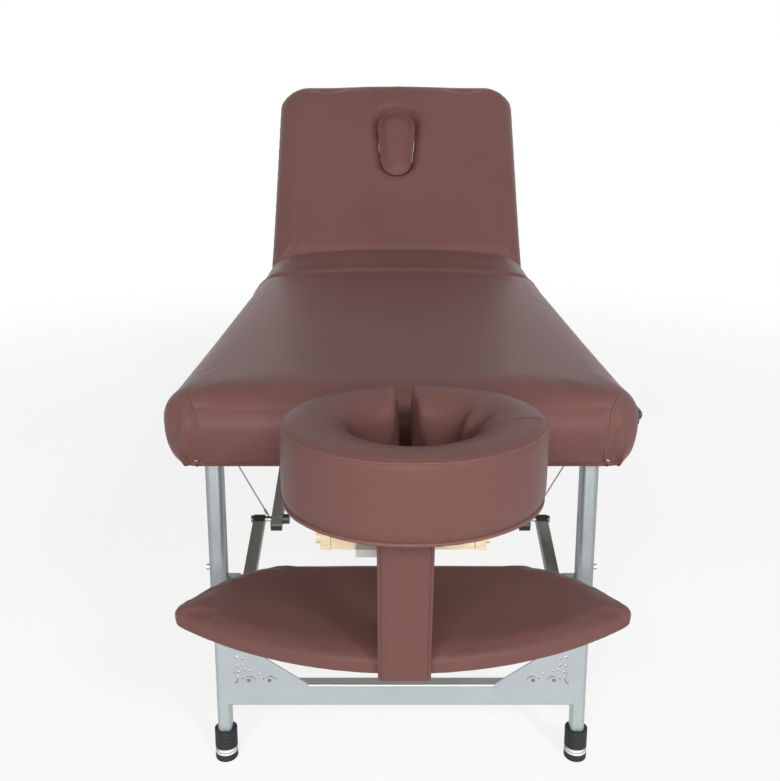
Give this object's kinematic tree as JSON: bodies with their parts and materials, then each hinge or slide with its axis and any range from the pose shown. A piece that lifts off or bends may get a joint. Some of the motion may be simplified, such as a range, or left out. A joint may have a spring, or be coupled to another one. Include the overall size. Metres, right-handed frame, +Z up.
{
  "type": "folding massage table",
  "caption": "Padded folding massage table with a lifting back, braced telescopic aluminium legs, a pull-out tilting face cradle and a hanging arm shelf.",
  "frame": {"origin": "on the floor, under the middle of the table's outline with the face cradle fitted", "axes": "+Z up, +Y from the face cradle to the raised back, +X to the right seen from the face cradle"},
  "size_m": [0.7574, 2.2243, 1.1396],
  "materials": {
    "vinyl": "fine-grain upholstery vinyl, soft sheen",
    "birch_ply": "lacquered birch plywood",
    "foot_rubber": "matt rubber with a pale bush",
    "brace_tube": "dark grey powder coat",
    "leg_aluminium": "satin anodised",
    "steel_cable": "laid steel wire",
    "black_plastic": "moulded black plastic",
    "grey_plastic": "moulded grey plastic",
    "zinc_steel": "zinc-plated steel"
  },
  "bodies": {
    "near_half": {"near_frame": "birch_ply", "near_deck": "birch_ply", "near_pad": "vinyl", "near_skirt": "vinyl", "near_hinge_leaf": "zinc_steel", "near_leg_bracket_left": "zinc_steel", "near_leg_bracket_right": "zinc_steel", "near_brace_rod": "zinc_steel", "cradle_socket_left": "black_plastic", "cradle_socket_right": "black_plastic", "latch_base": "black_plastic", "near_cable_left": "steel_cable", "near_cable_right": "steel_cable"},
    "far_half": {"far_frame": "birch_ply", "far_deck": "birch_ply", "seat_pad": "vinyl", "seat_skirt_left": "vinyl", "seat_skirt_right": "vinyl", "far_hinge_leaf": "zinc_steel", "far_leg_bracket_left": "zinc_steel", "far_leg_bracket_right": "zinc_steel", "far_brace_rod": "zinc_steel", "latch_stud": "black_plastic", "far_cable_left": "steel_cable", "far_cable_right": "steel_cable"},
    "back": {"back_board": "birch_ply", "back_pad": "vinyl"},
    "plug": {"breath_plug": "vinyl"},
    "prop": {"prop_bail": "zinc_steel"},
    "slide": {"cradle_slide": "birch_ply"},
    "platform": {"cradle_platform": "birch_ply", "cradle_cushion": "vinyl", "rear_strap": "vinyl"},
    "shelf": {"arm_shelf": "vinyl", "shelf_board": "birch_ply", "front_strap": "vinyl"},
    "lever": {"cradle_lever": "grey_plastic"},
    "latch": {"latch_hook": "black_plastic"},
    "near_legs": {"near_leg_upper_left": "leg_aluminium", "near_leg_upper_right": "leg_aluminium"},
    "near_leg_frame": {"near_leg_lower": "leg_aluminium", "near_foot_left": "foot_rubber", "near_foot_right": "foot_rubber"},
    "near_lower_struts": {"near_strut_lower_left": "brace_tube", "near_strut_lower_right": "brace_tube"},
    "near_upper_struts": {"near_strut_upper_left": "brace_tube", "near_strut_upper_right": "brace_tube"},
    "near_button_left": {"near_leg_button_left": "zinc_steel"},
    "near_button_right": {"near_leg_button_right": "zinc_steel"},
    "far_legs": {"far_leg_upper_left": "leg_aluminium", "far_leg_upper_right": "leg_aluminium"},
    "far_leg_frame": {"far_leg_lower": "leg_aluminium", "far_foot_left": "foot_rubber", "far_foot_right": "foot_rubber"},
    "far_lower_struts": {"far_strut_lower_left": "brace_tube", "far_strut_lower_right": "brace_tube"},
    "far_upper_struts": {"far_strut_upper_left": "brace_tube", "far_strut_upper_right": "brace_tube"},
    "far_button_left": {"far_leg_button_left": "zinc_steel"},
    "far_button_right": {"far_leg_button_right": "zinc_steel"}
  },
  "joints": [
    {"name": "table_fold", "type": "hinge", "parent": "near_half", "child": "far_half", "pos_m": [0, 0.15625, 0.5295], "axis": [-1, 0, 0], "range_deg": [0, 180], "deforming": ["near_cable_left", "near_cable_right", "far_cable_left", "far_cable_right"]},
    {"name": "near_leg_fold", "type": "hinge", "parent": "near_half", "child": "near_legs", "pos_m": [0, -0.71875, 0.555], "axis": [1, 0, 0], "range_deg": [0, 96.22]},
    {"name": "near_lower_brace", "type": "hinge", "parent": "near_legs", "child": "near_lower_struts", "pos_m": [0, -0.7242, 0.30916], "axis": [1, 0, 0], "range_deg": [0, 66.07]},
    {"name": "near_upper_brace", "type": "hinge", "parent": "near_half", "child": "near_upper_struts", "pos_m": [0, 0.10625, 0.576], "axis": [1, 0, 0], "range_deg": [-17.86, 0]},
    {"name": "near_leg_extend", "type": "slide", "parent": "near_legs", "child": "near_leg_frame", "axis": [0, -0.1075, -0.9942], "range_m": [-0.03, 0.13]},
    {"name": "near_button_left_press", "type": "slide", "parent": "near_legs", "child": "near_button_left", "axis": [1, 0, 0], "range_m": [0, 0.005], "stiffness_N_per_m": 800},
    {"name": "near_button_right_press", "type": "slide", "parent": "near_legs", "child": "near_button_right", "axis": [-1, 0, 0], "range_m": [0, 0.005], "stiffness_N_per_m": 800},
    {"name": "far_leg_fold", "type": "hinge", "parent": "far_half", "child": "far_legs", "pos_m": [0, 1.03125, 0.555], "axis": [-1, 0, 0], "range_deg": [0, 96.22]},
    {"name": "far_lower_brace", "type": "hinge", "parent": "far_legs", "child": "far_lower_struts", "pos_m": [0, 1.0367, 0.30916], "axis": [-1, 0, 0], "range_deg": [0, 66.07]},
    {"name": "far_upper_brace", "type": "hinge", "parent": "far_half", "child": "far_upper_struts", "pos_m": [0, 0.20625, 0.576], "axis": [-1, 0, 0], "range_deg": [-17.86, 0]},
    {"name": "far_leg_extend", "type": "slide", "parent": "far_legs", "child": "far_leg_frame", "axis": [0, 0.1075, -0.9942], "range_m": [-0.03, 0.13]},
    {"name": "far_button_left_press", "type": "slide", "parent": "far_legs", "child": "far_button_left", "axis": [1, 0, 0], "range_m": [0, 0.005], "stiffness_N_per_m": 800},
    {"name": "far_button_right_press", "type": "slide", "parent": "far_legs", "child": "far_button_right", "axis": [-1, 0, 0], "range_m": [0, 0.005], "stiffness_N_per_m": 800},
    {"name": "back_lift", "type": "hinge", "parent": "far_half", "child": "back", "pos_m": [0, 0.42425, 0.604], "axis": [1, 0, 0], "range_deg": [-51.4, 8]},
    {"name": "prop_swing", "type": "hinge", "parent": "back", "child": "prop", "pos_m": [0, 0.58528, 0.79523], "axis": [1, 0, 0], "range_deg": [-16.1, 102.9]},
    {"name": "plug_pull", "type": "slide", "parent": "back", "child": "plug", "axis": [0, -0.7815, 0.6239], "range_m": [0, 0.12]},
    {"name": "cradle_pull", "type": "slide", "parent": "near_half", "child": "slide", "axis": [0, -1, 0], "range_m": [0, 0.14]},
    {"name": "cradle_tilt", "type": "hinge", "parent": "slide", "child": "platform", "pos_m": [0, -0.86375, 0.464], "axis": [1, 0, 0], "range_deg": [-4, 20]},
    {"name": "shelf_hang", "type": "hinge", "parent": "platform", "child": "shelf", "pos_m": [0, -1.07175, 0.5637], "axis": [1, 0, 0], "range_deg": [-20.1, 4.1], "deforming": ["rear_strap"]},
    {"name": "lever_turn", "type": "hinge", "parent": "slide", "child": "lever", "pos_m": [-0.052, -0.88375, 0.461], "axis": [1, 0, 0], "range_deg": [0, 70]},
    {"name": "latch_swing", "type": "hinge", "parent": "near_half", "child": "latch", "pos_m": [0.3792, -0.70375, 0.598], "axis": [-1, 0, 0], "range_deg": [0, 90]}
  ],
  "couplings": [
    {"joint": "near_leg_fold", "follows": "table_fold", "ratio": 0.53428},
    {"joint": "near_lower_brace", "follows": "table_fold", "ratio": 0.36676},
    {"joint": "near_upper_brace", "follows": "table_fold", "ratio": -0.098961},
    {"joint": "far_leg_fold", "follows": "table_fold", "ratio": 0.53428},
    {"joint": "far_lower_brace", "follows": "table_fold", "ratio": 0.36676},
    {"joint": "far_upper_brace", "follows": "table_fold", "ratio": -0.098961},
    {"joint": "prop_swing", "follows": "back_lift", "ratio": -2},
    {"joint": "shelf_hang", "follows": "cradle_tilt", "ratio": -1}
  ]
}
